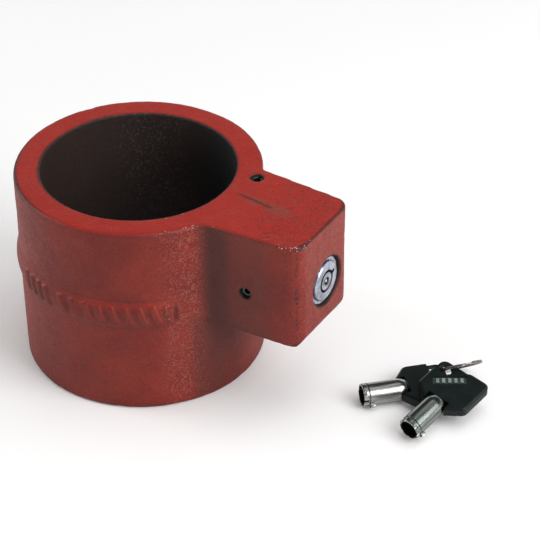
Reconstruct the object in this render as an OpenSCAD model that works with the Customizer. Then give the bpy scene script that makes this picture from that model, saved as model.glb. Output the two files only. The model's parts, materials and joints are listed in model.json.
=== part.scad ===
// King pin lock: a cast collar that closes a trailer's king pin with a cam-driven bolt,
// with its tubular lock and its two keys on a split ring.
// Frame: Z is the bore axis, Z = 0 is the collar's lower face, +X points along the lock boss.

/* [Collar] */
// Diameter of the bore that slips over the king pin
bore_d = 74; // [73.4:0.1:74.6]
// Outside diameter of the collar
collar_d = 94; // [93:0.5:97]
// Height of the collar
collar_h = 80; // [78:1:84]
// Radius of the collar's rounded rims
rim_r = 1.2; // [0.6:0.1:1.6]
// Height of the middle of the raised band
band_z = 44.2; // [40:0.2:48]
// Height of the raised band
band_h = 12; // [8:0.5:14]
// How far the raised band stands proud
band_proud = 1.15; // [0.6:0.05:1.6]
// Number of plain raised bars on the band
bar_count = 9; // [4:1:12]

/* [Lock boss] */
// Distance from the bore axis to the boss's front face
boss_reach = 81; // [80.8:0.1:82]
// Half width of the boss where it leaves the collar
boss_root_half = 21.3; // [20.6:0.1:22]
// Half width of the boss at its front face
boss_face_half = 19; // [18.6:0.1:20]
// Depth of the boss below the collar's top face
boss_h = 43; // [41:0.5:44]
// Radius of the boss's upright corners
boss_corner_r = 6; // [5:0.2:6.4]
// Radius of the hollow corner between boss and collar, on the boss's near side
neck_r = 6; // [4:0.5:8]
// Radius of the sharper hollow corner on the boss's far side
far_neck_r = 2.4; // [2:0.2:4]

/* [Lock and bolt] */
// Sideways offset of the lock axis from the boss's middle
lock_y = 2; // [1.6:0.1:2.4]
// Height of the lock axis
lock_z = 54.5; // [54:0.5:56]
// Diameter of the pocket that holds the lock
pocket_d = 19.6; // [19.4:0.1:19.8]
// Diameter of the sliding bolt
bolt_d = 22.8; // [22.6:0.1:23]
// Travel of the bolt in one full turn of the key
bolt_travel = 9; // [8.4:0.1:9]
// Outside diameter of the key's tube
key_tube_d = 8.8; // [8.7:0.1:8.9]
// Diameter of the lock's centre post
post_d = 7; // [6.8:0.1:7]
// Number of pin positions around the keyway, one of which is the notch
pin_positions = 8; // [6:1:8]
// Angle of the keyway's notch above the horizontal
notch_angle = 20; // [0:5:40]

/* [Keys] */
// Length of the key's tube in front of its head
key_tube_len = 18.3; // [17.6:0.1:19]
// Half width of the key's head
head_half = 11.1; // [10.8:0.1:11.4]
// Thickness of the key's head
head_t = 4.6; // [4.2:0.1:4.6]
// Middle radius of the key ring
ring_r = 9.3; // [9.2:0.1:9.4]

/* [Hidden] */
$fn = 96;

eps = 0.01;
fit = 0.05;             // radial clearance of every running or slip fit
collar_r = collar_d / 2;
bore_r = bore_d / 2;
boss_bottom = collar_h - boss_h;
band_end = 40;          // angle from the boss's middle at which the raised band stops

// Places along the lock axis, measured from the bore axis
bolt_tip_x = bore_r + 0.6;          // tip of the drawn-back bolt
bolt_back_x = 55.4;                 // rear of the drawn-back bolt
step_x = bolt_back_x + 0.3;         // shoulder between bolt bore and lock pocket
sleeve_back_x = step_x + 0.1;
sleeve_front_x = boss_reach - 1.3;
shell_front_x = boss_reach - 0.3;
chamber_back_x = 58.6;
shear_x = 65.65;                    // plane that the pins must meet
flange_front_x = 71.6;              // floor of the keyway
cam_front_x = 41.2;
cam_back_x = bolt_back_x - 0.2;

// Pins that hold the lock and the bolt
stop_pin = [43, 15.2];              // upright pin beside the bolt, x and y
stop_pin_r = 2.45;
side_pin_x = 59;
side_pin_r = 2.2;

// Bolt, cam and follower
bolt_r = bolt_d / 2;
cavity_r = 6.2;
cavity_floor_x = 40.6;
cam_r = 6;
groove_floor_r = 3.8;
groove_w = 2.7;
follower_r = 1.1;
follower_x = cam_front_x + groove_w / 2 + 0.85 + bolt_travel;   // follower with the bolt drawn back
tail_r = 2.25;
tail_flat = 1.7;
screw_head_r = 2.8;

// Lock cylinder
pocket_r = pocket_d / 2;
sleeve_r = pocket_r - fit;
shell_r = sleeve_r - 2;
plug_r = 6;                         // bore of the shell behind the keyway
keyway_r = key_tube_d / 2 + 0.1;
post_r = post_d / 2;
pin_circle_r = 4;
pin_r = 0.42;
pin_hole_r = pin_r + fit;
driver_len = 3;
spring_len = 2.9;

// Key head, in the key's frame: X along the tube towards the head, Y across, Z out of the face
head_corner_r = 2.6;
shoulder_r = 1.6;                   // corners of the head beside the tube
head_far = 17.2;
ring_hole = [13, 7.3];
ring_hole_r = 2.45;
web_t = 1.2;                        // thickness of the corner that carries the ring hole
web_angle = 41;                     // direction from the tube's end to that corner
web_line = 11.2;                    // how far in that direction the corner starts
web_side = 10.6;                    // the thin part starts beside the hole, so the head's side edge stays thick
slot_size = [12.9, 3.6];            // sunk slot beside the thin corner
slot_middle = [9.1, 2.1];
slot_depth = 0.5;
tang_r = 1.5;
dome_len = 4.4;                     // rounded rear of the key's tube

// How the keys lie: tube tip, then heading, climb and roll
key_1_tip = [95.257, 4.498, 4.889];
key_1_turn = [46.08, -2.01, 0];
key_2_tip = [120.47, -5.161, 5.811];
key_2_turn = [79.39, 7.83, 7];

// How the ring hangs in both heads
ring_centre = [119.94, 35.571, 7.429];
ring_normal = [-0.526, 0.448, 0.735];

// ---------- helpers ----------

// Put local X, Y, Z on world Y, Z, X, with the origin on the lock axis at x
module along_lock(x) {
    translate([x, lock_y, lock_z]) rotate([90, 0, 90]) children();
}

function edge_normal(a, b) = [b.y - a.y, a.x - b.x] / norm(b - a);

// Convex outline with round corners: arc centres in anticlockwise order, one radius
module round_outline(centres, r) {
    n = len(centres);
    polygon([for (i = [0 : n - 1]) for (e = [0, 1])
        centres[(i + e) % n] + r * edge_normal(centres[i], centres[(i + 1) % n])]);
    for (c = centres) translate(c) circle(r);
}

// Split spring pin along +Z from the origin
module roll_pin(r, length) {
    wall = r * 0.42;
    difference() {
        cylinder(r = r, h = length);
        translate([0, 0, -1]) cylinder(r = r - wall, h = length + 2);
        translate([0, -r * 0.2, -1]) cube([r + 1, r * 0.4, length + 2]);
    }
}

module around_keyway() {
    for (i = [1 : pin_positions - 1])
        rotate([0, 0, notch_angle + i * 360 / pin_positions])
            translate([pin_circle_r, 0, 0]) children();
}

// ---------- cast body ----------

module collar_profile() {
    middle = (bore_r + collar_r) / 2;
    round_outline([[middle, rim_r], [collar_r - rim_r, rim_r],
        [collar_r - rim_r, collar_h - rim_r], [middle, collar_h - rim_r]], rim_r);
    translate([bore_r - 2, 0]) square([middle - bore_r + 2, collar_h]);
}

// Rounded band that stops short of the boss on both sides
module raised_band() {
    bulge_r = (band_h * band_h / 4 + band_proud * band_proud) / (2 * band_proud);
    rotate([0, 0, band_end]) rotate_extrude(angle = 360 - 2 * band_end, $fn = 180) intersection() {
        translate([collar_r + band_proud - bulge_r, band_z]) circle(bulge_r);
        translate([(bore_r + collar_r) / 2, band_z - band_h]) square([collar_r, 2 * band_h]);
    }
}

function boss_half(x) = boss_root_half
    + (boss_face_half - boss_root_half) * (x - 42) / (boss_reach - boss_corner_r - 42);

module boss_plan() {
    r = boss_corner_r;
    back = 20;
    front = boss_reach - r;
    round_outline([[back, r - boss_half(back)], [front, r - boss_half(front)],
        [front, boss_half(front) - r], [back, boss_half(back) - r]], r);
    scale([1, -1]) neck_fillet(neck_r);
    neck_fillet(far_neck_r);
}

// Hollow corner that touches the boss's side and the collar
module neck_fillet(r) {
    slope = (boss_root_half - boss_half(boss_reach)) / (boss_reach - 42);
    normal = [slope, 1] / norm([slope, 1]);
    reach = boss_half(0) * normal.y + r;
    centre = reach * normal
        + sqrt(pow(collar_r + r, 2) - reach * reach) * [normal.y, -normal.x];
    difference() {
        polygon([centre, centre * collar_r / (collar_r + r),
            centre - [14, r + 8], centre - r * normal]);
        translate(centre) circle(r);
    }
}

// Side view of the boss: a belly underneath and a round lower front edge.
// The belly's arc centres are given by distance from the bore axis and height over the boss's bottom.
module boss_side() {
    belly = [[22, 6.3], [44, 4.9], [61, 3.6]];
    belly_r = 4.4;
    nose_r = 6;
    nose_drop = 2.9;
    translate([0, boss_bottom]) hull() {
        for (centre = belly) translate(centre) circle(belly_r);
        translate([boss_reach - nose_r, nose_r - nose_drop]) circle(nose_r);
        translate([20, boss_h]) square([boss_reach - 20, 5]);
    }
}

// Front view of the boss: the bottom bulges a little, rises to the near side and is round at the far side
module boss_front() {
    far_r = 8;
    lowest = boss_bottom - 2.9;
    hull() {
        translate([8.4, lowest + far_r]) circle(far_r);
        polygon([[25, 58], [32, 75], [32, 90], [-32, 90], [-32, 42],
            [-22, 37.6], [-19, 36.3], [-15, 35.2], [-9, 34.2]]);
    }
}

module boss_solid() {
    intersection() {
        linear_extrude(collar_h) boss_plan();
        translate([20, 0, 0]) rotate([90, 0, 90]) linear_extrude(boss_reach) boss_front();
        translate([0, 40, 0]) rotate([90, 0, 0]) linear_extrude(80) intersection() {
            boss_side();
            translate([20, 0]) square([boss_reach - 20, collar_h + 20]);
        }
    }
}

module band_bars() {
    bar = [4, 2.6, band_h - 3.8];
    rows = [[bar_count, -94, -band_end - 4], [4, -119, -104]];   // number, first and last angle
    for (row = rows) for (i = [0 : row[0] - 1])
        rotate([0, 0, row[1] + (row[2] - row[1]) * i / (row[0] - 1)])
            translate([collar_r + band_proud - bar.x / 2 + 0.35, 0, band_z])
                rotate([18, 0, 0]) cube(bar, center = true);
}

module cast_body() color("firebrick") difference() {
    union() {
        rotate_extrude($fn = 180) collar_profile();
        raised_band();
        boss_solid();
        band_bars();
    }
    translate([0, 0, -1]) cylinder(d = bore_d, h = collar_h + 2, $fn = 180);
    along_lock(bore_r - 12) cylinder(r = bolt_r + fit, h = step_x - bore_r + 12);
    along_lock(step_x - eps) cylinder(r = pocket_r, h = boss_reach - step_x + 1);
    translate([stop_pin.x, stop_pin.y, 42]) cylinder(r = stop_pin_r + fit, h = collar_h);
    translate([side_pin_x, -boss_root_half - 4, lock_z]) rotate([-90, 0, 0])
        cylinder(r = side_pin_r + fit, h = boss_root_half + 4 + lock_y - pocket_r + 1);
}

// ---------- bolt and its pins ----------

module locking_bolt() color("gray") difference() {
    chamfer = 1.4;
    union() {
        along_lock(bolt_tip_x) cylinder(r1 = bolt_r - chamfer, r2 = bolt_r, h = chamfer);
        along_lock(bolt_tip_x + chamfer - eps)
            cylinder(r = bolt_r, h = bolt_back_x - bolt_tip_x - chamfer + eps);
    }
    along_lock(cavity_floor_x) cylinder(r = cavity_r, h = bolt_back_x);
    flat_x = stop_pin.x - stop_pin_r - 0.2;
    translate([flat_x, stop_pin.y - stop_pin_r - 0.15, lock_z - bolt_r])
        cube([2 * stop_pin_r + bolt_travel + 0.3, bolt_r, 2 * bolt_r]);
    translate([follower_x, lock_y, lock_z]) cylinder(r = follower_r + 0.02, h = bolt_r + 1);
}

module cam_follower_pin() color("silver")
    translate([follower_x, lock_y, lock_z + groove_floor_r + 0.3])
        cylinder(r = follower_r, h = bolt_r - groove_floor_r - 0.6);

module bolt_stop_pin() color("dimgray")
    translate([stop_pin.x, stop_pin.y, 42.3]) rotate([0, 0, 90])
        roll_pin(stop_pin_r, collar_h - 1 - 42.3);

module lock_retaining_pin() color("dimgray") {
    outer_y = -(boss_half(side_pin_x) - 1.8);
    translate([side_pin_x, outer_y, lock_z]) rotate([-90, 0, 0])
        roll_pin(side_pin_r, lock_y - shell_r + 0.9 - outer_y);
}

// ---------- lock cylinder ----------

module lock_sleeve() color("silver") difference() {
    edge = 0.5;
    line_depth = 0.9;
    length = sleeve_front_x - sleeve_back_x;
    along_lock(sleeve_back_x) union() {
        cylinder(r = sleeve_r, h = length - edge);
        translate([0, 0, length - edge - eps])
            cylinder(r1 = sleeve_r, r2 = sleeve_r - edge, h = edge + eps);
    }
    along_lock(sleeve_back_x - 1) cylinder(r = shell_r + fit, h = length + 2);
    along_lock(sleeve_front_x - line_depth) cylinder(r = shell_r + 0.35, h = 2);
    translate([side_pin_x, lock_y - sleeve_r - 1, lock_z]) rotate([-90, 0, 0])
        cylinder(r = side_pin_r + fit, h = 5);
}

module lock_shell() color("gainsboro") difference() {
    edge = 0.35;
    groove_x = shell_front_x - 4.6;
    along_lock(sleeve_back_x) {
        cylinder(r = shell_r, h = shell_front_x - sleeve_back_x - edge);
        translate([0, 0, shell_front_x - sleeve_back_x - edge - eps])
            cylinder(r1 = shell_r, r2 = shell_r - edge, h = edge + eps);
    }
    along_lock(sleeve_back_x - 1) cylinder(r = plug_r, h = flange_front_x + 0.1 - sleeve_back_x + 1);
    along_lock(flange_front_x) cylinder(r = keyway_r, h = 20);
    along_lock(flange_front_x) rotate([0, 0, notch_angle])
        translate([keyway_r - 1, -0.85, 0]) cube([2.3, 1.7, 20]);
    along_lock(groove_x) cylinder(r = keyway_r + 1.4, h = 2.2);
    translate([side_pin_x, lock_y - shell_r - 1, lock_z]) rotate([-90, 0, 0])
        cylinder(r = side_pin_r + fit, h = 2);
    translate([(chamber_back_x + shear_x) / 2, lock_y, lock_z]) rotate([180, 0, 0])
        cylinder(r = 0.85, h = shell_r + 1);
}

module pin_chamber() color("goldenrod") difference() {
    along_lock(chamber_back_x) cylinder(r = plug_r - fit, h = shear_x - fit - chamber_back_x);
    along_lock(chamber_back_x - 1) cylinder(r = tail_r + fit, h = 20);
    along_lock(shear_x - driver_len - spring_len - 0.25) around_keyway()
        cylinder(r = pin_hole_r, h = 12, $fn = 24);
    translate([(chamber_back_x + shear_x) / 2, lock_y, lock_z - 4.9]) rotate([180, 0, 0])
        cylinder(r = 0.85, h = 4);
}

module chamber_dowel() color("silver")
    translate([(chamber_back_x + shear_x) / 2, lock_y, lock_z - 5]) rotate([180, 0, 0])
        cylinder(r = 0.8, h = shell_r - 5.2);

module spindle() color("silver") difference() {
    ball_hole = 2.4;
    tail_end_x = cam_front_x + 2.3;
    union() {
        along_lock(shear_x + fit) cylinder(r = plug_r - 0.1, h = flange_front_x - shear_x - fit);
        along_lock(shear_x) cylinder(r = post_r, h = shell_front_x + fit - shear_x);
        along_lock(cam_back_x + 0.2) cylinder(r = tail_r, h = shear_x - cam_back_x);
        intersection() {
            along_lock(tail_end_x) cylinder(r = tail_r, h = shear_x - tail_end_x);
            translate([tail_end_x - 1, lock_y - tail_flat, lock_z - 5]) cube([30, 2 * tail_flat, 10]);
        }
    }
    along_lock(shear_x - 1) around_keyway() cylinder(r = pin_hole_r, h = 7, $fn = 24);
    along_lock(shell_front_x - ball_hole) cylinder(r = 1.25, h = 4);
    along_lock(chamber_back_x - 1.2) difference() {
        cylinder(r = 4, h = 0.8);
        translate([0, 0, -1]) cylinder(r = 1.8, h = 3);
    }
    along_lock(tail_end_x - 1) cylinder(r = 1.25, h = 9);
}

module anti_drill_ball() color("white")
    along_lock(shell_front_x - 1.15) sphere(r = 1.2);

module tail_circlip() color("dimgray")
    along_lock(chamber_back_x - 1.1) difference() {
        cylinder(r = 4, h = 0.6);
        translate([0, 0, -1]) cylinder(r = 1.85, h = 3);
        translate([0, -1.2, -1]) cube([5, 2.4, 3]);
    }

// Barrel cam: a helical groove, one full turn long, moves the follower pin
module drive_cam() color("darkgray") difference() {
    lead = bolt_travel / 360;
    span = groove_w / lead;
    start_x = follower_x - bolt_travel - groove_w / 2;
    height = bolt_travel + groove_w;
    along_lock(cam_front_x) cylinder(r = cam_r, h = cam_back_x - cam_front_x);
    along_lock(start_x) rotate([0, 0, 90 - (bolt_travel + groove_w / 2) / lead])
        linear_extrude(height, twist = -height / lead, slices = 80, $fn = 14) polygon([
            for (i = [0 : 6]) let (a = span * (i / 6 - 0.5)) groove_floor_r * [cos(a), sin(a)],
            for (i = [6 : -1 : 0]) let (a = span * (i / 6 - 0.5)) (cam_r + 1) * [cos(a), sin(a)]]);
    along_lock(cam_front_x - 1) cylinder(r = screw_head_r + 0.1, h = 1 + 2.25);
    intersection() {
        along_lock(cam_front_x) cylinder(r = tail_r + fit, h = 30);
        translate([cam_front_x, lock_y - tail_flat - fit, lock_z - 5])
            cube([30, 2 * (tail_flat + fit), 10]);
    }
}

module cam_screw() color("dimgray") difference() {
    along_lock(cam_front_x + 0.2) union() {
        cylinder(r = screw_head_r, h = 2);
        cylinder(r = 1.2, h = 9);
    }
    along_lock(cam_front_x) rotate([0, 0, 30]) cylinder(r = 1.3, h = 1.3, $fn = 6);
}

module key_pins() color("gold")
    along_lock(shear_x + 0.07) around_keyway()
        cylinder(r = pin_r, h = flange_front_x + 0.8 - shear_x, $fn = 24);

module driver_pins() color("silver")
    along_lock(shear_x - 0.07 - driver_len) around_keyway()
        cylinder(r = pin_r, h = driver_len, $fn = 24);

// Round wire wound along +Z, with closed ends
module coil(radius, wire, length, turns) {
    steps = 8 * turns;
    sides = 6;
    function rim(i, j) = let (a = 45 * i, b = 360 * j / sides, r = radius + wire * cos(b))
        [r * cos(a), r * sin(a), wire + (length - 2 * wire) * i / steps + wire * sin(b)];
    points = [for (i = [0 : steps]) for (j = [0 : sides - 1]) rim(i, j)];
    skin = [for (i = [0 : steps - 1]) for (j = [0 : sides - 1]) for (half = [0, 1])
        let (a = i * sides + j, b = a + sides, c = (i + 1) * sides + (j + 1) % sides, d = c - sides)
        half == 0 ? [a, b, c] : [a, c, d]];
    start = [for (j = [0 : sides - 1]) j];
    end = [for (j = [sides - 1 : -1 : 0]) steps * sides + j];
    polyhedron(points, concat(skin, [start, end]));
}

module pin_springs() color("silver")
    along_lock(shear_x - 0.12 - driver_len - spring_len) around_keyway()
        coil(0.3, 0.1, spring_len, 4);

// ---------- keys and ring ----------

module in_key_frame(tip, turn) {
    translate(tip) rotate([0, 0, turn[0]]) rotate([0, -turn[1], 0]) rotate([turn[2], 0, 0])
        translate([key_tube_len, 0, 0]) children();
}

module key_tube() color("silver") {
    r = key_tube_d / 2;
    edge = 0.3;
    bite = 9.5;
    dome = [for (i = [0 : 10]) [r * cos(4.8 * i), -dome_len + dome_len * sin(4.8 * i) / sin(48)]];
    difference() {
        rotate([0, 90, 0]) union() {
            rotate_extrude() polygon(concat([[0, 0], [0, -key_tube_len],
                [r - edge, -key_tube_len], [r, edge - key_tube_len]], dome));
            translate([0, 0, -1]) cylinder(r = tang_r, h = 9.5);
        }
        translate([-key_tube_len - 1, 0, 0]) rotate([0, 90, 0]) cylinder(r = post_r + 0.1, h = bite + 1);
        for (i = [1 : pin_positions - 1])
            rotate([i * 360 / pin_positions, 0, 0])
                translate([-key_tube_len - 1, 0, r]) rotate([0, 90, 0])
                    cylinder(r = 0.7, h = 1.7 + 0.5 * (i % 3), $fn = 24);
    }
    rotate([-60, 0, 0]) translate([-key_tube_len + 2.2, -0.75, -r - 0.9]) cube([2, 1.5, 1.5]);
}

module head_outline(inset) {
    corner = head_half - head_corner_r;
    hull() for (side = [-1, 1]) {
        translate([-3.6, 2.2 * side]) circle(shoulder_r - inset);
        for (x = [2.6, head_far - head_corner_r])
            translate([x, corner * side]) circle(head_corner_r - inset);
    }
}

// Put the origin in the middle of the slot's floor, with X along the slot
module in_slot() {
    translate([slot_middle.x, slot_middle.y, head_t / 2 - slot_depth])
        rotate([0, 0, web_angle - 90]) children();
}

// face is 1 with the slot on top, and -1 with the slot underneath
module key_head(face) color("darkslategray") {
    bevel = 0.8;
    difference() {
        hull() {
            translate([0, 0, -head_t / 2 + bevel]) linear_extrude(head_t - 2 * bevel)
                head_outline(0, $fn = 24);
            translate([0, 0, -head_t / 2]) linear_extrude(head_t) head_outline(bevel, $fn = 24);
        }
        translate([-20, -key_tube_d / 2 - 0.35, -5]) cube([20, key_tube_d + 0.7, 10]);
        rotate([0, 90, 0]) translate([0, 0, -1]) cylinder(r = tang_r + 0.02, h = 9.7);
        for (z = [web_t / 2, -web_t / 2 - 5]) intersection() {
            rotate([0, 0, web_angle]) translate([web_line, -20, z]) cube([20, 40, 5]);
            translate([web_side, -20, z]) cube([20, 40, 5]);
        }
        translate([ring_hole.x, ring_hole.y, -5]) cylinder(r = ring_hole_r, h = 10);
        for (side = [-1, 1]) scale([1, 1, side]) translate([ring_hole.x, ring_hole.y, web_t / 2 - 0.3])
            cylinder(r1 = ring_hole_r, r2 = ring_hole_r + 0.4, h = 0.4);
        scale([1, 1, face]) in_slot() translate(-slot_size / 2) cube([slot_size.x, slot_size.y, 2]);
    }
    for (i = [-2 : 2]) scale([1, 1, face]) in_slot() translate([2.3 * i - 0.6, -1.1, -0.05]) cube([1.2, 2.2, 0.45]);
}

module key_1_tube() in_key_frame(key_1_tip, key_1_turn) key_tube();
module key_1_head() in_key_frame(key_1_tip, key_1_turn) key_head(-1);
module key_2_tube() in_key_frame(key_2_tip, key_2_turn) key_tube();
module key_2_head() in_key_frame(key_2_tip, key_2_turn) key_head(1);

// Split ring through both heads, drawn as two closed turns joined by a core
module key_ring() color("silver") {
    width = 1;
    coil_h = 0.58;
    n = ring_normal / norm(ring_normal);
    translate(ring_centre) rotate([0, acos(n.z), atan2(n.y, n.x)])
        rotate_extrude($fn = 96) translate([ring_r - width / 2, 0]) {
            translate([0, 0.04]) square([width, coil_h]);
            translate([0, -0.04 - coil_h]) square([width, coil_h]);
            translate([0.15, -0.2]) square([width - 0.3, 0.4]);
        }
}

cast_body();
locking_bolt();
cam_follower_pin();
bolt_stop_pin();
lock_retaining_pin();
lock_sleeve();
lock_shell();
pin_chamber();
chamber_dowel();
spindle();
anti_drill_ball();
tail_circlip();
drive_cam();
cam_screw();
key_pins();
driver_pins();
pin_springs();
key_ring();
key_1_tube();
key_1_head();
key_2_tube();
key_2_head();
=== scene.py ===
"""Looks of a king pin lock: a red cast collar with a tubular lock in its boss, and two keys on a split ring.

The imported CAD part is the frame. The casting, the split ring and the pin springs are rebuilt here as finer
meshes. Every other piece is the CAD's own, with softened edges and a procedural material.
"""

import json
import math

import bmesh
import bpy
import numpy as np
from mathutils import Matrix, Vector, noise


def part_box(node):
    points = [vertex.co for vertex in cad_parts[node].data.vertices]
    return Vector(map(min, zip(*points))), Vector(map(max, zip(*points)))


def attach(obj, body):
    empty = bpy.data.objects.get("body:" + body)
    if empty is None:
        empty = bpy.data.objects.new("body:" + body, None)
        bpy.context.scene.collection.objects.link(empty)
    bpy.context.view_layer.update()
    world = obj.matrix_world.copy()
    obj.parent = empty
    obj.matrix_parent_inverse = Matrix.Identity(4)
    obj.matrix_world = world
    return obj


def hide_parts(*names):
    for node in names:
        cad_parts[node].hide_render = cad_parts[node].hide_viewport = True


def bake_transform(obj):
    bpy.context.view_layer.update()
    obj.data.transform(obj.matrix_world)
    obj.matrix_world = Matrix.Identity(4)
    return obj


MM = 0.001
WELD_WITHIN = 0.002 * MM
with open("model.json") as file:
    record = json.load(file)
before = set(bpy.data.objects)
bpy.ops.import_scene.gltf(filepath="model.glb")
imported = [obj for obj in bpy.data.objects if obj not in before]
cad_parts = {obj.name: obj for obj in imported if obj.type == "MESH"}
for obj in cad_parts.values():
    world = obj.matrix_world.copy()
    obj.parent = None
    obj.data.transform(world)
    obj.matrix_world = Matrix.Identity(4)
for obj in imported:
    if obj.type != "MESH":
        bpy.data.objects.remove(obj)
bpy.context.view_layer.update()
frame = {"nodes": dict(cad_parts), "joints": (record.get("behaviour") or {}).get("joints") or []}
nodes = frame["nodes"]

# ---------- places read from the frame ----------


def centre_of(node):
    low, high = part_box(node)
    return (low + high) / 2


def get_points(mesh):
    flat = np.empty(len(mesh.vertices) * 3)
    mesh.vertices.foreach_get("co", flat)
    return flat.reshape(-1, 3)


def points_of(node):
    return get_points(nodes[node].data)


def main_axes(node):
    """The middle of a node's points and its principal directions, longest spread first."""
    points = points_of(node)
    middle = points.mean(axis=0)
    spread, directions = np.linalg.eigh(np.cov((points - middle).T))
    return middle, directions[:, np.argsort(-spread)].T


LOCK_Y = centre_of("lock_sleeve").y
LOCK_Z = centre_of("lock_sleeve").z
BORE_R = 37 * MM
COLLAR_R = 47 * MM
BAND_Z = 44.2 * MM
BAND_HALF = 6 * MM
BAND_PROUD = 1.15 * MM
BAND_END = 40  # degrees from the boss's middle to the end of the raised band
BAND_FADE = 4  # degrees over which the band sinks into the collar
BAR_ROWS = ((9, -94, -44), (4, -119, -104))  # number of bars, first and last angle
BAR_HALF_WIDTH, BAR_HALF_HEIGHT = 1.3 * MM, 4.1 * MM
BAR_PROUD = 0.55 * MM
BAR_LEAN = math.radians(18)
LOCK_AXIS = (0, LOCK_Y, LOCK_Z)
ALONG_X = (1, 0, 0)
ALONG_Y = (0, 1, 0)
UPRIGHT = (0, 0, 1)
stop_pin = centre_of("bolt_stop_pin")
side_pin = centre_of("lock_retaining_pin")

# ---------- node graph helper ----------


class Graph:
    """The node tree of one material, with short calls for the nodes this scene uses."""

    def __init__(self, name):
        self.material = bpy.data.materials.new(name)
        self.material.use_nodes = True
        self.tree = self.material.node_tree
        self.tree.nodes.clear()
        where = self.node("TexCoord").outputs["Object"]
        scaled = self.node("VectorMath", {0: where, "Scale": 1 / MM}, operation="SCALE")
        self.place = scaled.outputs[0]  # object coordinates in millimetres

    def feed(self, socket, value):
        if isinstance(value, bpy.types.NodeSocket):
            self.tree.links.new(value, socket)
        elif isinstance(value, tuple) and socket.type == "RGBA" and len(value) == 3:
            socket.default_value = (*value, 1)
        elif value is not None:
            socket.default_value = value

    def node(self, kind, inputs=None, **settings):
        made = self.tree.nodes.new("ShaderNode" + kind)
        for key, value in settings.items():
            setattr(made, key, value)
        for key, value in (inputs or {}).items():
            self.feed(made.inputs[key], value)
        return made

    def math(self, operation, a, b=None, clamp=False):
        return self.node("Math", {0: a, 1: b}, operation=operation, use_clamp=clamp).outputs[0]

    def add(self, a, b):
        return self.math("ADD", a, b)

    def times(self, a, b):
        return self.math("MULTIPLY", a, b)

    def flip(self, a):
        return self.math("SUBTRACT", 1.0, a, clamp=True)

    def step(self, value, start, end):
        """0 before start and 1 after end, with a smooth rise. start may be the larger."""
        if start > end:
            return self.flip(self.step(value, end, start))
        made = self.node("MapRange", {"Value": value, "From Min": start, "From Max": end},
                         interpolation_type="SMOOTHSTEP")
        return made.outputs[0]

    def stretch(self, value, low, high):
        """value's range 0 to 1 carried over to low to high."""
        return self.node("MapRange", {"Value": value, "To Min": low, "To Max": high}).outputs[0]

    def noise(self, scale, detail=2.0, roughness=0.5, place=None, distortion=0.0):
        """Noise whose scale is in features per millimetre."""
        made = self.node("TexNoise", {"Vector": place or self.place, "Scale": scale, "Detail": detail,
                                      "Roughness": roughness, "Distortion": distortion})
        return made.outputs["Fac"]

    def cells(self, scale, place=None, output="Distance"):
        made = self.node("TexVoronoi", {"Vector": place or self.place, "Scale": scale})
        return made.outputs[output]

    def split(self, vector):
        return self.node("SeparateXYZ", {0: vector}).outputs

    def join(self, x, y, z):
        return self.node("CombineXYZ", {0: x, 1: y, 2: z}).outputs[0]

    def blend(self, share, a, b):
        made = self.node("Mix", data_type="RGBA")
        self.feed(made.inputs[0], share)
        self.feed(made.inputs[6], a)
        self.feed(made.inputs[7], b)
        return made.outputs[2]

    def bump(self, height, distance, strength=1.0, below=None):
        """A bump of the given depth in millimetres, on top of the bump below it."""
        made = self.node("Bump", {"Height": height, "Distance": distance * MM, "Strength": strength,
                                  "Normal": below})
        return made.outputs[0]

    def attribute(self, name):
        return self.node("Attribute", attribute_name=name).outputs["Fac"]

    def from_axis(self, origin, axis):
        """Distance from an axis and distance along it, both in millimetres."""
        offset = self.node("VectorMath", {0: self.place, 1: tuple(c / MM for c in origin)},
                           operation="SUBTRACT").outputs[0]
        along = self.node("VectorMath", {0: offset, 1: tuple(axis)}, operation="DOT_PRODUCT").outputs["Value"]
        whole = self.node("VectorMath", {0: offset}, operation="LENGTH").outputs["Value"]
        squares = self.math("SUBTRACT", self.times(whole, whole), self.times(along, along))
        return self.math("SQRT", self.math("MAXIMUM", squares, 0.0)), along

    def finish(self, colour, roughness, normal=None, metallic=0.0, **more):
        inputs = {"Base Color": colour, "Roughness": roughness, "Normal": normal, "Metallic": metallic}
        inputs.update({key.replace("_", " "): value for key, value in more.items()})
        shader = self.node("BsdfPrincipled", inputs)
        output = self.node("OutputMaterial")
        self.tree.links.new(shader.outputs[0], output.inputs[0])
        return self.material


# ---------- materials ----------

# the paint
RED_DEEP = (0.255, 0.015, 0.0065)
RED_BRIGHT = (0.345, 0.028, 0.012)
# painted light: a brighter red for level faces, standing in for the top lamp falling on them
RED_LEVEL_LIT = (0.40, 0.012, 0.004)
RED_DUSTY = (0.36, 0.085, 0.070)
RED_DARK = (0.085, 0.007, 0.005)
# pale grit, also used for painted sheen and highlight specks
PALE_GRIT_AND_SHEEN = (0.46, 0.13, 0.105)
RUBBED_BROWN = (0.17, 0.058, 0.036)
# painted shade: a dull brown for the boss's near side, which the lamps barely reach
SIDE_SHADE_BROWN = (0.12, 0.040, 0.028)
# painted shade, with some grime: dark for the neck, under the boss and hollow corners
SHADE_AND_GRIME = (0.040, 0.014, 0.011)
EDGE_DARK = (0.045, 0.008, 0.006)
# the bare iron, with painted glints and the bore's painted light and shade
BARE_IRON = (0.030, 0.027, 0.026)
# painted glints: a near-white for specks of bare metal catching the light
BARE_GLINT_BRIGHT = (0.80, 0.68, 0.63)
# painted shade and painted light for the bore's two sides
BORE_SHADE_DARK = (0.007, 0.007, 0.007)
BORE_LIT_BROWN = (0.030, 0.016, 0.013)
GLINT_GREY = (0.10, 0.10, 0.09)
HOLE_DARK = (0.016, 0.012, 0.010)
# metal and plastic
RING_SHADE = (0.03, 0.035, 0.035)
# painted reflection: dark streaks along the key tubes
REFLECTION_STREAK_DARK = (0.07, 0.07, 0.065)
SPOT_DARK = (0.20, 0.20, 0.18)
# painted shade in the key tube's groove
GROOVE_SHADE = (0.06, 0.06, 0.055)
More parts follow.
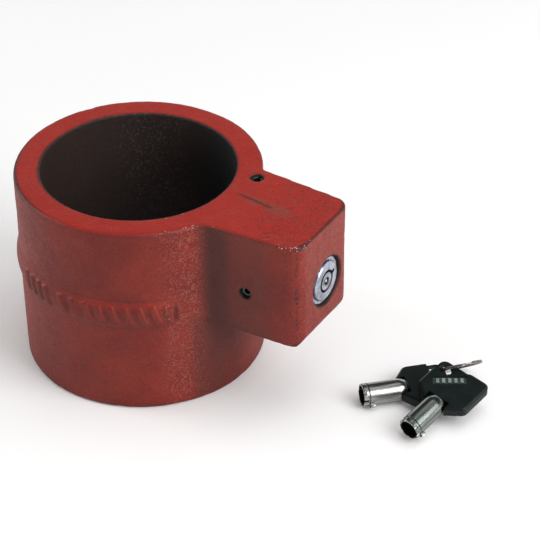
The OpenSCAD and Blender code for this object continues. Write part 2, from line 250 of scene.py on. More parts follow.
# painted shade inside the key tube
TUBE_INSIDE_SHADE = (0.030, 0.032, 0.028)

# directions from the bore's axis, in degrees from the boss
BESIDE_BOSS = -36
FAR_LEFT = -140
RIM_LEFT = -146
RIM_FAR = 152
GLINTS = 116

NECK = (47.5 * MM, -22.8 * MM, 0)  # upright line where the boss's near side meets the hollow corner
NEAR_CORNER = (79.2 * MM, -17.2 * MM, 0)  # the boss's near upright corner

# heights over the middle of a key's head, in millimetres
SLOT_FLOOR = 1.8
BAR_TOP = 2.2
HEIGHT_SLACK = 0.04


def hole_walls(g):
    """1 in the bore, and 1 on the walls of the casting's other holes, which are coloured near black, with 0
    on its painted skin.

    The numbers of a step across a wall are millimetres just outside and just inside it.
    """
    from_bore, _ = g.from_axis((0, 0, 0), UPRIGHT)
    from_lock, along_lock = g.from_axis(LOCK_AXIS, ALONG_X)
    from_stop, over_middle = g.from_axis(stop_pin, UPRIGHT)
    from_side, _ = g.from_axis(side_pin, ALONG_Y)
    _, y, _ = g.split(g.place)
    in_boss = g.times(g.step(along_lock, 38.0, 40.0), g.step(along_lock, 80.7, 80.3))
    pocket = g.times(g.step(from_lock, 10.25, 9.95), in_boss)
    stop_hole = g.times(g.step(from_stop, 2.85, 2.6), g.step(over_middle, -18.0, -16.0))
    side_hole = g.times(g.step(from_side, 2.6, 2.35), g.step(y, 0.0, -2.0))
    walls = g.math("MAXIMUM", g.math("MAXIMUM", pocket, stop_hole), side_hole)
    return g.step(from_bore, 37.7, 37.25), walls


class Skin:
    """Places and textures that the layers of the red paint share. Lengths are in millimetres."""

    def __init__(self, g):
        self.x, self.y, self.z = g.split(g.place)
        self.turn = g.math("ARCTAN2", self.y, self.x)
        face_up = g.split(g.node("NewGeometry").outputs["Normal"])[2]
        self.upright = g.step(g.math("ABSOLUTE", face_up), 0.7, 0.2)
        self.level = g.flip(self.upright)
        self.edge = g.attribute("edge")
        self.hollow = g.attribute("hollow")
        self.patches = g.noise(0.22, 4, 0.6)
        self.grain = g.noise(1.5, 4, 0.75)
        self.grit = g.split(g.cells(1.9, output="Color"))
        self.from_corner, _ = g.from_axis(NEAR_CORNER, UPRIGHT)
        self.beside_boss = towards(g, self.turn, BESIDE_BOSS, 0.26, 0.08)
        self.far_left = towards(g, self.turn, FAR_LEFT, 0.9, 0.4)
        self.front_edge = g.step(self.x, 76.0, 79.5)


def towards(g, turn, degrees, fade_end, fade_start):
    """1 round the given direction from the bore's axis. It fades out between two angles in radians."""
    aside = g.math("ABSOLUTE", g.add(turn, -math.radians(degrees)))
    return g.step(aside, fade_end, fade_start)


def grit_and_sheen_places(g, s):
    """Where pale grit with painted sheen shows (the highlight band beside the boss, the lit boss face and the
    sheen far left) and dark grit (on top of the boss).
    """
    boss_half = g.step(s.x, 48.0, 66.0)
    boss_face = g.step(s.x, 79.5, 80.5)
    uneven = g.stretch(g.step(s.patches, 0.40, 0.62), 0.6, 1.0)
    # painted sheen: pale specks massed where highlights fall beside the boss, on the lit boss face and far
    # left, with a few everywhere as grit
    light = g.math("MAXIMUM", g.times(s.beside_boss, 0.9), g.times(boss_face, 0.55))
    light = g.add(g.add(light, g.times(s.far_left, 0.3)), 0.08)
    light = g.times(g.times(light, s.upright), uneven)
    dark = g.add(g.times(g.times(boss_half, s.level), 0.9), g.times(s.upright, 0.2))
    dark = g.times(g.math("MINIMUM", g.add(dark, g.times(s.far_left, 0.35)), 1.0), uneven)
    return light, dark


def sound_paint(g, s):
    """The unworn paint: cloudy red, with painted light that makes level faces a brighter red, dusty in
    patches and dark in its grain.
    """
    clouds = g.noise(0.045, 3)
    colour = g.blend(g.step(clouds, 0.35, 0.65), RED_DEEP, RED_BRIGHT)
    # painted light: level faces blended towards a brighter red
    colour = g.blend(g.times(s.level, 0.75), colour, RED_LEVEL_LIT)
    colour = g.blend(g.times(g.step(s.patches, 0.48, 0.75), 0.12), colour, RED_DUSTY)
    return g.blend(g.times(g.step(s.grain, 0.52, 0.36), 0.5), colour, RED_DARK)


def scraped(g, s, colour):
    """A scrape along the top of the boss, in a brown rubbed streak."""
    along_line = g.add(g.add(s.y, -1.2), g.times(g.add(s.x, -51.0), 0.13))
    off_line = g.math("ABSOLUTE", along_line)
    streak = g.step(g.add(off_line, g.times(g.noise(0.3, 4, 0.6), 9.0)), 8.6, 5.6)
    streak_length = g.times(g.step(s.x, 42.0, 50.0), g.step(s.x, 72.0, 62.0))
    streak = g.times(g.times(streak, s.level), streak_length)
    colour = g.blend(g.times(streak, 0.45), colour, RUBBED_BROWN)
    scrape = g.step(g.add(off_line, g.times(g.noise(1.2, 3), 1.2)), 1.5, 1.0)
    scrape_length = g.times(g.step(s.x, 42.0, 44.0), g.step(s.x, 60.0, 57.0))
    scrape = g.times(g.times(scrape, scrape_length), s.level)
    return g.blend(g.times(scrape, 0.75), colour, RED_DARK)


def shaded_and_grimy(g, s, colour):
    """Painted shade: dull brown on the boss's near side, and dark in the neck and under the boss; painted
    shade with grime in hollow corners.
    """
    # painted shade on the boss's near side
    near_side_shade = g.times(g.step(s.y, -12.0, -16.0), g.times(g.step(s.x, 73.0, 64.0), g.step(s.x, 40.0, 46.0)))
    colour = g.blend(g.times(g.times(near_side_shade, s.upright), 0.40), colour, SIDE_SHADE_BROWN)
    # painted shade in the neck and under the boss
    from_neck, _ = g.from_axis(NECK, UPRIGHT)
    neck = g.times(g.step(from_neck, 8.0, 2.5), s.upright)
    below = g.times(g.step(s.z, 43.0, 36.0), g.step(s.x, 62.0, 54.0))
    below = g.times(below, g.times(g.step(s.turn, -0.64, -0.52), g.step(s.turn, 0.15, -0.20)))
    shaded = g.math("MAXIMUM", neck, g.times(g.times(below, s.upright), 0.8))
    # painted shade, with grime, in hollow corners
    corners = g.times(g.step(s.hollow, 0.30, 1.0), 0.65)
    return g.blend(g.math("MAXIMUM", corners, g.times(shaded, 0.55)), colour, SHADE_AND_GRIME)


def chipped_places(g, s):
    """1 where paint is knocked off: the rim's left, the boss's front edge and its near upright corner."""
    rim = g.math("MAXIMUM", towards(g, s.turn, RIM_LEFT, 0.40, 0.25), towards(g, s.turn, RIM_FAR, 0.30, 0.15))
    knocked = g.times(g.step(s.edge, 0.10, 0.45), g.math("MAXIMUM", rim, g.times(s.front_edge, 0.8)))
    knocked = g.math("MAXIMUM", knocked, g.times(g.step(s.from_corner, 1.6, 0.3), s.upright))
    return g.step(g.add(g.times(knocked, 0.40), g.times(g.noise(0.6, 4, 0.7), 1.1)), 0.98, 1.01)


def edge_worn(g, s, colour, chips):
    """Worn edges: a dark line, chips down to the iron, and bright specks of bare metal painted as glints
    where it catches the light.
    """
    worn_place = g.math("MAXIMUM", g.math("MAXIMUM", s.front_edge, s.far_left), 0.35)
    worn = g.times(g.step(s.edge, 0.20, 0.60), worn_place)
    colour = g.blend(g.times(worn, 0.8), colour, EDGE_DARK)
    colour = g.blend(chips, colour, BARE_IRON)
    # painted glints: bright specks on edges near the boss's corner and beside the boss
    glint_fleck_place = g.math("MAXIMUM", g.step(s.from_corner, 9.0, 5.5), s.beside_boss)
    glint_flecks = g.times(g.step(g.cells(1.2), 0.36, 0.18), g.step(g.noise(0.35, 2), 0.47, 0.56))
    glint_flecks = g.times(g.times(glint_flecks, glint_fleck_place), g.step(s.edge, 0.25, 0.6))
    return g.blend(glint_flecks, colour, BARE_GLINT_BRIGHT)


def bore_finish(g, s):
    """The unpainted bore, with painted light and shade: lit brown on the left and shaded black towards the
    boss, with a patch of painted grey glints.
    """
    # painted light and shade: lit brown on the -X side and shaded black towards the boss
    tone = g.blend(g.step(s.x, -8.0, 14.0), BORE_LIT_BROWN, BORE_SHADE_DARK)
    # painted glints
    glint_place = g.times(towards(g, s.turn, GLINTS, 0.55, 0.15), g.step(s.z, 20.0, 45.0))
    glints = g.times(g.step(s.grit[2], 0.78, 0.95), glint_place)
    return g.blend(g.times(glints, 0.55), tone, GLINT_GREY)


def red_paint():
    """Satin red paint over cast iron: uneven and gritty, with worn edges and a bare dark bore, and with
    painted light and shade: brighter level faces, sheen, glints and shade in hollows and in the bore.
    """
    g = Graph("red_paint")
    s = Skin(g)
    grit_sheen_place, dark_place = grit_and_sheen_places(g, s)
    pale_grit_with_sheen = g.times(g.step(s.grit[0], 0.45, 0.95), grit_sheen_place)
    dark_grit = g.step(g.add(s.grit[1], g.times(dark_place, 0.35)), 0.93, 1.08)
    chips = chipped_places(g, s)
    bore, walls = hole_walls(g)

    colour = sound_paint(g, s)
    # pale grit and painted sheen
    colour = g.blend(g.times(pale_grit_with_sheen, 0.8), colour, PALE_GRIT_AND_SHEEN)
    colour = g.blend(g.times(dark_grit, 0.6), colour, RED_DARK)
    colour = scraped(g, s, colour)
    colour = shaded_and_grimy(g, s, colour)
    colour = edge_worn(g, s, colour, chips)
    colour = g.blend(bore, colour, bore_finish(g, s))
    colour = g.blend(walls, colour, HOLE_DARK)

    bare = g.math("MAXIMUM", g.math("MAXIMUM", chips, bore), walls)
    roughness = g.stretch(g.noise(0.35, 3), 0.36, 0.56)
    roughness = g.add(roughness, g.times(bare, 0.14))
    normal = g.bump(g.noise(0.16, 2), 0.5, 0.35)
    normal = g.bump(g.noise(0.9, 2, 0.5), 0.22, 0.5, normal)
    normal = g.bump(s.grain, 0.18, 0.7, normal)
    normal = g.bump(g.times(s.grit[0], grit_sheen_place), 0.16, 0.6, normal)
    normal = g.bump(g.flip(g.math("MAXIMUM", chips, dark_grit)), 0.12, 0.7, normal)
    return g.finish(colour, roughness, normal, Specular_IOR_Level=0.5)


def turned_metal(name, light, dark, origin, axis, rough=(0.18, 0.34), rings=1.0, dark_ring=None):
    """Turned metal: fine rings round an axis, cloudy tarnish and small scratches.

    dark_ring gives the inner and outer radius of a dark ring, in millimetres.
    """
    g = Graph(name)
    radius, along = g.from_axis(origin, axis)
    ring_place = g.join(g.times(radius, 9.0), g.times(along, 9.0), 0.0)
    ring_lines = g.noise(1.0, 3, 0.6, place=ring_place)
    clouds = g.noise(0.35, 3)
    scratches = g.noise(1.3, 4, 0.7, distortion=1.5)
    colour = g.blend(g.step(clouds, 0.35, 0.7), light, dark)
    colour = g.blend(g.times(g.step(scratches, 0.55, 0.75), 0.35), colour, dark)
    colour = g.blend(g.times(g.step(ring_lines, 0.50, 0.72), 0.45), colour, dark)
    if dark_ring:
        inner, outer = dark_ring
        shade = g.times(g.step(radius, inner - 0.15, inner), g.step(radius, outer + 0.15, outer))
        colour = g.blend(g.times(shade, 0.85), colour, RING_SHADE)
    roughness = g.stretch(g.math("MULTIPLY", g.add(ring_lines, clouds), 0.5), *rough)
    normal = g.bump(ring_lines, 0.03 * rings, 0.6)
    normal = g.bump(scratches, 0.02, 0.4, normal)
    return g.finish(colour, roughness, normal, metallic=1.0)


def grained_steel(name, light, dark, rough=(0.3, 0.5)):
    """Plain machine steel with oily patches and a fine grain."""
    g = Graph(name)
    patches = g.noise(0.4, 4, 0.6)
    grain = g.noise(4.0, 3, 0.7)
    colour = g.blend(g.step(patches, 0.35, 0.7), light, dark)
    roughness = g.stretch(patches, *rough)
    normal = g.bump(grain, 0.03, 0.6)
    return g.finish(colour, roughness, normal, metallic=1.0)


def key_plastic(name, dark, light, worn):
    """Moulded plastic with a faint green cast, fine texture and handling marks."""
    g = Graph(name)
    clouds = g.noise(0.25, 3)
    texture = g.noise(5.0, 2, 0.6)
    rubs = g.noise(0.9, 5, 0.7, distortion=2.0)
    colour = g.blend(g.step(clouds, 0.3, 0.7), dark, light)
    colour = g.blend(g.times(g.step(rubs, 0.58, 0.8), 0.5), colour, worn)
    roughness = g.stretch(rubs, 0.32, 0.52)
    normal = g.bump(texture, 0.04, 0.5)
    return g.finish(colour, roughness, normal, Specular_IOR_Level=0.28)


def mouth_of(tube, middle, axis):
    """The direction from a key's tube towards its mouth, and how far the mouth is from the middle."""
    head = np.array(centre_of(tube.replace("tube", "head")))
    outward = axis if np.dot(head - middle, axis) < 0 else -axis
    return outward, ((points_of(tube) - middle) @ outward).max() / MM


def key_nickel(tube, bright, dull):
    """Nickel with streaks along the key's tube, the darker of them painted reflections, and a turned groove
    behind its mouth darkened with painted shade, with painted shade inside.
    """
    middle, axes = main_axes(tube)
    outward, mouth = mouth_of(tube, middle, axes[0])
    g = Graph("key_nickel_" + tube)
    radius, along = g.from_axis(middle, outward)
    lengthwise = g.node("VectorMath", {0: tuple(outward), "Scale": g.times(along, 0.95)},
                        operation="SCALE").outputs[0]
    streak_place = g.node("VectorMath", {0: g.place, 1: lengthwise}, operation="SUBTRACT").outputs[0]
    streaks_and_reflections = g.noise(1.1, 3, 0.6, place=streak_place)
    spots = g.noise(1.8, 4, 0.7)
    # painted reflections: the streaks shift the nickel between bright and dull, and the darkest stand in for
    # dark surroundings mirrored in it; they also set roughness and bumps
    colour = g.blend(g.step(streaks_and_reflections, 0.38, 0.62), bright, dull)
    colour = g.blend(g.times(g.step(streaks_and_reflections, 0.60, 0.68), 0.8), colour, REFLECTION_STREAK_DARK)
    colour = g.blend(g.times(g.step(spots, 0.58, 0.72), 0.5), colour, SPOT_DARK)
    from_groove = g.math("ABSOLUTE", g.math("SUBTRACT", along, mouth - 2.3))
    groove = g.step(from_groove, 0.38, 0.18)
    # painted shade in the groove
    colour = g.blend(g.times(groove, 0.8), colour, GROOVE_SHADE)
    inside = g.step(radius, 3.85, 3.65)
    # painted shade inside the tube
    colour = g.blend(inside, colour, TUBE_INSIDE_SHADE)
    roughness = g.add(g.stretch(streaks_and_reflections, 0.10, 0.34), g.times(inside, 0.3))
    normal = g.bump(streaks_and_reflections, 0.05, 0.5)
    normal = g.bump(g.flip(groove), 0.15, 0.8, normal)
    return g.finish(colour, roughness, normal, metallic=1.0)


# ---------- meshes ----------


def set_smooth(mesh):
    mesh.polygons.foreach_set("use_smooth", [True] * len(mesh.polygons))
    mesh.update()


def new_object(name, mesh, material):
    made = bpy.data.objects.new(name, mesh)
    bpy.context.scene.collection.objects.link(made)
    mesh.materials.clear()
    mesh.materials.append(material)
    return made


def welded_copy(node):
    """A copy of a CAD node's mesh whose faces share their corners."""
    shell = bmesh.new()
    shell.from_mesh(nodes[node].data)
    bmesh.ops.remove_doubles(shell, verts=shell.verts, dist=WELD_WITHIN)
    mesh = bpy.data.meshes.new(node + "_welded")
    shell.to_mesh(mesh)
    shell.free()
    return mesh


def evaluated_mesh(obj):
    view = bpy.context.evaluated_depsgraph_get()
    return bpy.data.meshes.new_from_object(obj.evaluated_get(view))


def remeshed(mesh, voxel, rounds):
    """mesh as one even skin of small quads, with its sharp edges relaxed."""
    source = bpy.data.objects.new("remesh_source", mesh)
    bpy.context.scene.collection.objects.link(source)
    skin = source.modifiers.new("skin", "REMESH")
    skin.mode = "VOXEL"
    skin.voxel_size = voxel
    ease = source.modifiers.new("ease", "SMOOTH")
    ease.factor = 0.5
    ease.iterations = rounds
    made = evaluated_mesh(source)
    bpy.data.objects.remove(source)
    return made


def set_points(mesh, points):
    mesh.vertices.foreach_set("co", points.ravel())
    mesh.update()


def get_normals(mesh):
    flat = np.empty(len(mesh.vertices) * 3)
    mesh.vertex_normals.foreach_get("vector", flat)
    return flat.reshape(-1, 3)


def edge_pairs(mesh):
    flat = np.empty(len(mesh.edges) * 2, dtype=np.int64)
    mesh.edges.foreach_get("vertices", flat)
    return flat.reshape(-1, 2)


def neighbour_mean(values, pairs):
    """Each vertex's mean over its neighbours, for one value or a vector per vertex."""
    count = np.bincount(pairs.ravel(), minlength=len(values)).clip(1)
    columns = values.reshape(len(values), -1)
    total = np.empty_like(columns)
    for c in range(columns.shape[1]):
        total[:, c] = np.bincount(pairs[:, 0], columns[pairs[:, 1], c], len(values))
        total[:, c] += np.bincount(pairs[:, 1], columns[pairs[:, 0], c], len(values))
    return (total / count[:, None]).reshape(values.shape)


def curvature(mesh, spread):
    """How much each vertex stands out from the skin around it: above 0 on an edge, below 0 in a corner."""
    points, pairs = get_points(mesh), edge_pairs(mesh)
    around = points
    for _ in range(spread):
        around = neighbour_mean(around, pairs)
    bend = np.einsum("ij,ij->i", points - around, get_normals(mesh))
    for _ in range(2):
        bend = (bend + neighbour_mean(bend, pairs)) / 2
    return bend


def store(mesh, name, values):
    layer = mesh.attributes.new(name, "FLOAT", "POINT")
    layer.data.foreach_set("value", values.astype(np.float32))


def soft_box(value, half):
    """1 where value lies within half of zero and 0 beyond, with a smooth edge."""
    edge = 0.7 * MM
    share = np.clip((half - np.abs(value)) / edge + 0.5, 0, 1)
    return share * share * (3 - 2 * share)


def band_relief(angle, height):
    """How far the collar's skin stands out at an angle in degrees and a height: the band and its bars."""
    bulge_r = (BAND_HALF ** 2 + BAND_PROUD ** 2) / (2 * BAND_PROUD)
    level = height - BAND_Z
    relief = np.sqrt(np.maximum(bulge_r ** 2 - level ** 2, 0)) + BAND_PROUD - bulge_r
    relief = np.maximum(relief, 0)
    for middle in np.concatenate([np.linspace(first, last, count) for count, first, last in BAR_ROWS]):
        across = np.radians(angle - middle) * COLLAR_R
        along = level * math.cos(BAR_LEAN) - across * math.sin(BAR_LEAN)
        aside = level * math.sin(BAR_LEAN) + across * math.cos(BAR_LEAN)
        relief += BAR_PROUD * soft_box(aside, BAR_HALF_WIDTH) * soft_box(along, BAR_HALF_HEIGHT)
    fade = np.clip((np.abs(angle) - BAND_END) / BAND_FADE, 0, 1)
    return relief * fade * fade * (3 - 2 * fade)


def rounded_to_radius(points, normals):
    """Moves the bore onto a true cylinder, and the collar's outside onto its cylinder with the faded band."""
    beyond_band, below_skin, off_bore = 2 * MM, 1 * MM, 0.12 * MM
    inward = -0.985  # the facing from which a normal counts as pointing at the bore's axis
    radius = np.hypot(points[:, 0], points[:, 1])
    facing = (points[:, 0] * normals[:, 0] + points[:, 1] * normals[:, 1]) / radius
    angle = np.degrees(np.arctan2(points[:, 1], points[:, 0]))
    outer = COLLAR_R + band_relief(angle, points[:, 2])
    in_band = np.abs(points[:, 2] - BAND_Z) < BAND_HALF + beyond_band
    in_band &= (np.abs(angle) > BAND_END) & (radius > COLLAR_R - below_skin)
    in_bore = (facing < inward) & (np.abs(radius - BORE_R) < off_bore)
    target = np.where(in_band, outer, np.where(in_bore, BORE_R, radius))
    points[:, :2] *= (target / radius)[:, None]
    return points


def layered_noise(points, scale, octaves):
    """Fractal noise at each point, with scale in features per metre."""
    return np.array([noise.fractal(Vector(p) * scale, 1.0, 2.0, octaves) for p in points])


def cast_skin():
    """The casting as one skin with eased edges, hand-dressed unevenness and small knocks."""
    mesh = remeshed(welded_copy("cast_body"), voxel=0.6 * MM, rounds=5)
    points = rounded_to_radius(get_points(mesh), get_normals(mesh))
    set_points(mesh, points)
    bend = curvature(mesh, 6)
    full_edge, full_hollow = 0.35 * MM, 0.12 * MM  # the bends that count as a whole edge and a whole corner
    edge = np.clip(bend / full_edge, 0, 1)
    hollow = np.clip(-bend / full_hollow, 0, 1)
    normals = get_normals(mesh)
    radius = np.hypot(points[:, 0], points[:, 1])
    in_bore = radius < BORE_R + 0.4 * MM
    lumps = layered_noise(points, 55.0, 2) * 0.16 * MM
    lumps += layered_noise(points, 260.0, 2) * 0.05 * MM
    knocks = np.clip(layered_noise(points + 0.5, 160.0, 2) - 0.35, 0, 1) * edge * -0.7 * MM
    move = np.where(in_bore, 0.1 * lumps, lumps + knocks)
    set_points(mesh, points + normals * move[:, None])
    store(mesh, "edge", edge)
    store(mesh, "hollow", hollow)
    set_smooth(mesh)
    return mesh


def swept_tube(name, path, sides, outline, closed=False):
    """A mesh that carries outline(side, sides) along a path of (point, across, up) steps."""
    shell = bmesh.new()
    rings = []
    for point, across, up in path:
        ring = []
        for side in range(sides):
            a, b = outline(side, sides)
            ring.append(shell.verts.new(point + across * a + up * b))
        rings.append(ring)
    for first, second in zip(rings, rings[1:]):
        for side in range(sides):
            after = (side + 1) % sides
            shell.faces.new((first[side], second[side], second[after], first[after]))
    shell.faces.new(rings[0])
    shell.faces.new(reversed(rings[-1]))
    bmesh.ops.recalc_face_normals(shell, faces=shell.faces)
    mesh = bpy.data.meshes.new(name)
    shell.to_mesh(mesh)
    shell.free()
    set_smooth(mesh)
    return mesh


def rounded_bar(width, height, power=4.0):
    """An outline between an ellipse and a rectangle."""
    def outline(side, sides):
        turn = 2 * math.pi * side / sides
        c, s = math.cos(turn), math.sin(turn)
        reach = (abs(c) ** power + abs(s) ** power) ** (-1 / power)
        return c * reach * width / 2, s * reach * height / 2
    return outline


def smooth_share(value):
    value = min(max(value, 0.0), 1.0)
    return value * value * (3 - 2 * value)


def split_ring():
    """A key ring of flat wire wound twice round, with the step where one turn passes over the other."""
    height = 0.6 * MM
    gap = 0.04 * MM
    turns, steps_per_turn = 1.94, 96
    step_start, step_length = 0.80, 0.34  # the step from one turn to the other, in turns
    middle, axes = main_axes("key_ring")
    points = points_of("key_ring")
    u, v, normal = (Vector(a) for a in axes)
    middle = Vector(middle)
    flat = points - np.array(middle)
    reach = np.linalg.norm(flat - np.outer(flat @ np.array(normal), np.array(normal)), axis=1)
    radius = (reach.max() + reach.min()) / 2
    width = reach.max() - reach.min()
    path = []
    for i in range(int(steps_per_turn * turns) + 1):
        turn = i / steps_per_turn
        level = 0.5 - smooth_share((turn - step_start) / step_length)
        angle = 2 * math.pi * turn
        out = u * math.cos(angle) + v * math.sin(angle)
        path.append((middle + out * radius + normal * level * (height + gap), out, normal))
    return swept_tube("split_ring", path, 16, rounded_bar(width, height))


def pin_spring_coils():
    """Seven fine coil springs, each as wide as its CAD stand-in."""
    low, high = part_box("pin_springs")
    start_x, end_x = low.x, high.x
    wire_r = 0.1 * MM
    coil_r = 0.3 * MM
    circle_r = 4 * MM
    places, notch_angle = 8, 20  # places round the keyway, of which the one at the notch has no pin
    turns, steps_per_turn = 7, 20
    shell = bmesh.new()
    for k in range(1, places):
        angle = math.radians(notch_angle + 360 / places * k)
        centre_y = LOCK_Y + circle_r * math.cos(angle)
        centre_z = LOCK_Z + circle_r * math.sin(angle)
        path = []
        for i in range(turns * steps_per_turn + 1):
            share = i / (turns * steps_per_turn)
            turn = 2 * math.pi * i / steps_per_turn
            out = Vector((0, math.cos(turn), math.sin(turn)))
            x = start_x + wire_r + (end_x - start_x - 2 * wire_r) * share
            path.append((Vector((x, centre_y, centre_z)) + out * coil_r, out, Vector((1, 0, 0))))
        shell.from_mesh(swept_tube("coil", path, 6, rounded_bar(2 * wire_r, 2 * wire_r, 2.0)))
    mesh = bpy.data.meshes.new("pin_spring_coils")
    shell.to_mesh(mesh)
    shell.free()
    set_smooth(mesh)
    return mesh, Vector((start_x, LOCK_Y, LOCK_Z)), Vector((end_x, LOCK_Y, LOCK_Z))


def soften(node, width, segments=2, angle=30):
    """Rounds a CAD node's edges a little, so that they catch the light."""
    obj = nodes[node]
    weld = obj.modifiers.new("weld", "WELD")
    weld.merge_threshold = WELD_WITHIN
    bevel = obj.modifiers.new("soft_edges", "BEVEL")
    bevel.width = width * MM
    bevel.segments = segments
    bevel.limit_method = "ANGLE"
    bevel.angle_limit = math.radians(angle)
    bevel.harden_normals = False
    shade = obj.modifiers.new("even_shading", "WEIGHTED_NORMAL")
    shade.keep_sharp = False
    return obj


def paint(node, material):
    mesh = nodes[node].data
    mesh.materials.clear()
    mesh.materials.append(material)


def mark_slot(head, swing, marks, slot, face_side):
    """Gives the raised bars of a key's head, and the floor of the slot they stand in, their own materials.

    face_side is 1 for a slot in the head's upper face and -1 for one underneath.
    """
    joint = next(j for j in frame["joints"] if j["name"] == swing)
    middle = Vector(joint["pos_m"])
    outward = Vector(joint["axis"]).normalized()
    if outward.z < 0:
        outward.negate()
    outward *= face_side
    mesh = nodes[head].data
    mesh.materials.append(marks)
    mesh.materials.append(slot)
    for face in mesh.polygons:
        height = (face.center - middle).dot(outward) / MM
        flat = face.normal.dot(outward) > 0.95
        if flat and abs(height - BAR_TOP) < HEIGHT_SLACK:
            face.material_index = 1
        elif flat and abs(height - SLOT_FLOOR) < HEIGHT_SLACK:
            face.material_index = 2


# ---------- the object ----------

casting = new_object("casting", cast_skin(), red_paint())
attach(casting, "lock_body")
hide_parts("cast_body")

nickel = turned_metal("lock_nickel", (0.70, 0.73, 0.86), (0.34, 0.36, 0.43), LOCK_AXIS, ALONG_X)
plug_nickel = turned_metal("plug_nickel", (0.62, 0.65, 0.74), (0.30, 0.31, 0.36), LOCK_AXIS, ALONG_X,
                           dark_ring=(1.25, 1.75))
ball_steel = turned_metal("ball_steel", (0.80, 0.86, 0.72), (0.50, 0.56, 0.48), LOCK_AXIS, ALONG_X,
                          (0.08, 0.15))
steel = turned_metal("bolt_steel", (0.45, 0.44, 0.43), (0.28, 0.27, 0.26), LOCK_AXIS, ALONG_X, (0.25, 0.45))
brass = turned_metal("brass", (0.70, 0.48, 0.20), (0.48, 0.32, 0.13), LOCK_AXIS, ALONG_X)
pin_steel = grained_steel("pin_steel", (0.26, 0.30, 0.26), (0.11, 0.13, 0.11))
black_plastic = key_plastic("black_plastic", (0.003, 0.007, 0.0064), (0.005, 0.011, 0.010),
                            (0.02, 0.028, 0.026))
slot_plastic = key_plastic("slot_plastic", (0.030, 0.045, 0.041), (0.045, 0.062, 0.056), (0.10, 0.12, 0.11))
bar_plastic = key_plastic("bar_plastic", (0.16, 0.19, 0.18), (0.26, 0.30, 0.28), (0.40, 0.43, 0.42))
spring_steel = grained_steel("spring_steel", (0.45, 0.45, 0.44), (0.3, 0.3, 0.3), (0.2, 0.35))
ring_steel = grained_steel("ring_nickel", (0.44, 0.42, 0.41), (0.20, 0.19, 0.19), (0.12, 0.3))

FINISHES = {
    "locking_bolt": (steel, 0.25),
    "cam_follower_pin": (steel, 0.15),
    "bolt_stop_pin": (pin_steel, 0.25),
    "lock_retaining_pin": (pin_steel, 0.25),
    "lock_sleeve": (nickel, 0.12),
    "lock_shell": (nickel, 0.10),
    "pin_chamber": (brass, 0.12),
    "chamber_dowel": (pin_steel, 0.12),
    "spindle": (plug_nickel, 0.12),
    "anti_drill_ball": (ball_steel, 0.0),
    "tail_circlip": (pin_steel, 0.08),
    "drive_cam": (steel, 0.12),
    "cam_screw": (pin_steel, 0.12),
    "key_pins": (brass, 0.1),
    "driver_pins": (steel, 0.1),
    "key_1_head": (black_plastic, 0.3),
    "key_2_head": (black_plastic, 0.3),
    "key_1_tube": (key_nickel("key_1_tube", (0.66, 0.66, 0.63), (0.36, 0.37, 0.35)), 0.1),
    "key_2_tube": (key_nickel("key_2_tube", (0.42, 0.46, 0.43), (0.20, 0.23, 0.21)), 0.1),
}
for node, (material, width) in FINISHES.items():
    paint(node, material)
    if width:
        soften(node, width)
mark_slot("key_1_head", "key_1_swing", bar_plastic, slot_plastic, -1)  # its slot is underneath
mark_slot("key_2_head", "key_2_swing", bar_plastic, slot_plastic, 1)

ring = new_object("split_ring", split_ring(), ring_steel)
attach(ring, "ring")
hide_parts("key_ring")

coil_mesh, coil_start, coil_end = pin_spring_coils()
coils = new_object("pin_spring_coils", coil_mesh, spring_steel)
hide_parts("pin_springs")
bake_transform(coils)

# ---------- studio ----------


def floor():
    mesh = bpy.data.meshes.new("floor")
    half = 4.0  # metres
    corners = [(-half, -half, 0), (half, -half, 0), (half, half, 0), (-half, half, 0)]
    mesh.from_pydata(corners, [], [(0, 1, 2, 3)])
    g = Graph("floor_white")
    tone = g.blend(g.noise(0.01, 2), (0.96, 0.96, 0.96), (0.98, 0.98, 0.975))
    # the light that the floor throws back onto the object is held down, as grey paper would
    path = g.node("LightPath")
    tone = g.blend(path.outputs["Is Diffuse Ray"], tone, (0.42, 0.42, 0.42))
    tone = g.blend(path.outputs["Is Glossy Ray"], tone, (0.74, 0.74, 0.74))
    glow = g.times(path.outputs["Is Camera Ray"], 0.07)
    material = g.finish(tone, 0.8, Specular_IOR_Level=0.1, Emission_Color=(1, 1, 1), Emission_Strength=glow)
    made = new_object("floor", mesh, material)


def area_light(name, azimuth, elevation, distance, width, height, power):
    """A soft light aimed at the object, placed by its direction. Azimuth 0 stands on the -Y side.

    Directions are in degrees, lengths in metres and the power in watts.
    """
    aim = Vector((0.03, 0, 0.04))
    a, e = math.radians(azimuth), math.radians(elevation)
    back = Vector((math.sin(a) * math.cos(e), -math.cos(a) * math.cos(e), math.sin(e)))
    lamp = bpy.data.lights.new(name, "AREA")
    lamp.shape = "RECTANGLE"
    lamp.size = width
    lamp.size_y = height
    lamp.energy = power
    made = bpy.data.objects.new(name, lamp)
    made.location = aim + back * distance
    made.rotation_euler = back.to_track_quat("Z", "Y").to_euler()
    bpy.context.scene.collection.objects.link(made)
    return made


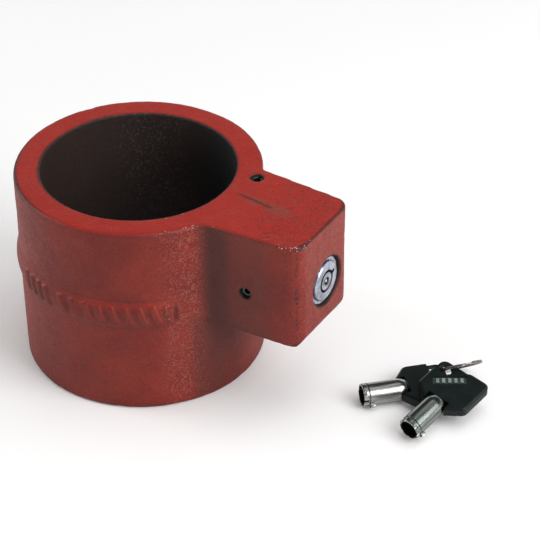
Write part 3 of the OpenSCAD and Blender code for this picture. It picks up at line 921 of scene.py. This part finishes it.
def sky(strength):
    """A pale room. In reflections it has a dark band above the lights, which gives the metal its contrast."""
    world = bpy.data.worlds.new("studio")
    world.use_nodes = True
    tree = world.node_tree
    background = tree.nodes["Background"]
    background.inputs["Color"].default_value = (1, 1, 1, 1)
    height = tree.nodes.new("ShaderNodeSeparateXYZ")
    tree.links.new(tree.nodes.new("ShaderNodeTexCoord").outputs["Generated"], height.inputs[0])
    ramp = tree.nodes.new("ShaderNodeValToRGB")
    ramp.color_ramp.elements[0].position = 0.0
    ramp.color_ramp.elements[0].color = (0.9, 0.9, 0.9, 1)
    ramp.color_ramp.elements[1].position = 1.0
    ramp.color_ramp.elements[1].color = (0.5, 0.5, 0.5, 1)
    for position, value in ((0.30, 0.8), (0.42, 0.04), (0.80, 0.04), (0.90, 0.5)):
        ramp.color_ramp.elements.new(position).color = (value, value, value, 1)
    tree.links.new(height.outputs[2], ramp.inputs[0])
    path = tree.nodes.new("ShaderNodeLightPath")
    reflected = tree.nodes.new("ShaderNodeMix")
    reflected.inputs[2].default_value = strength
    tree.links.new(path.outputs["Is Glossy Ray"], reflected.inputs[0])
    tree.links.new(ramp.outputs[0], reflected.inputs[3])
    seen = tree.nodes.new("ShaderNodeMix")
    seen.inputs[3].default_value = 0.96
    tree.links.new(path.outputs["Is Camera Ray"], seen.inputs[0])
    tree.links.new(reflected.outputs[0], seen.inputs[2])
    tree.links.new(seen.outputs[0], background.inputs["Strength"])
    bpy.context.scene.world = world


def camera():
    """The viewpoint, as an orbit round a point near the middle of the object."""
    azimuth, elevation, roll = (math.radians(v) for v in (31.39, 35.64, 0.37))
    aim = Vector((41.6, 26.3, 30.2)) * MM
    distance = 780.3 * MM
    back = Vector((math.sin(azimuth) * math.cos(elevation), -math.cos(azimuth) * math.cos(elevation),
                   math.sin(elevation)))
    lens = bpy.data.cameras.new("camera")
    lens.sensor_width = 36
    lens.lens = 133.1
    lens.clip_end = 20
    made = bpy.data.objects.new("camera", lens)
    turn = back.to_track_quat("Z", "Y").to_matrix() @ Matrix.Rotation(-roll, 3, "Z")
    made.matrix_world = Matrix.Translation(aim + back * distance) @ turn.to_4x4()
    bpy.context.scene.collection.objects.link(made)
    bpy.context.scene.camera = made


floor()
sky(0.30)
area_light("top_soft", 120, 75, 1.2, 1.0, 1.0, 5.8).visible_glossy = False
area_light("right_soft", 88, 35, 1.1, 0.7, 0.7, 7.5)
area_light("left_soft", -72, 22, 1.2, 0.5, 0.9, 4.6)
camera()
bpy.context.scene.view_settings.view_transform = "Standard"
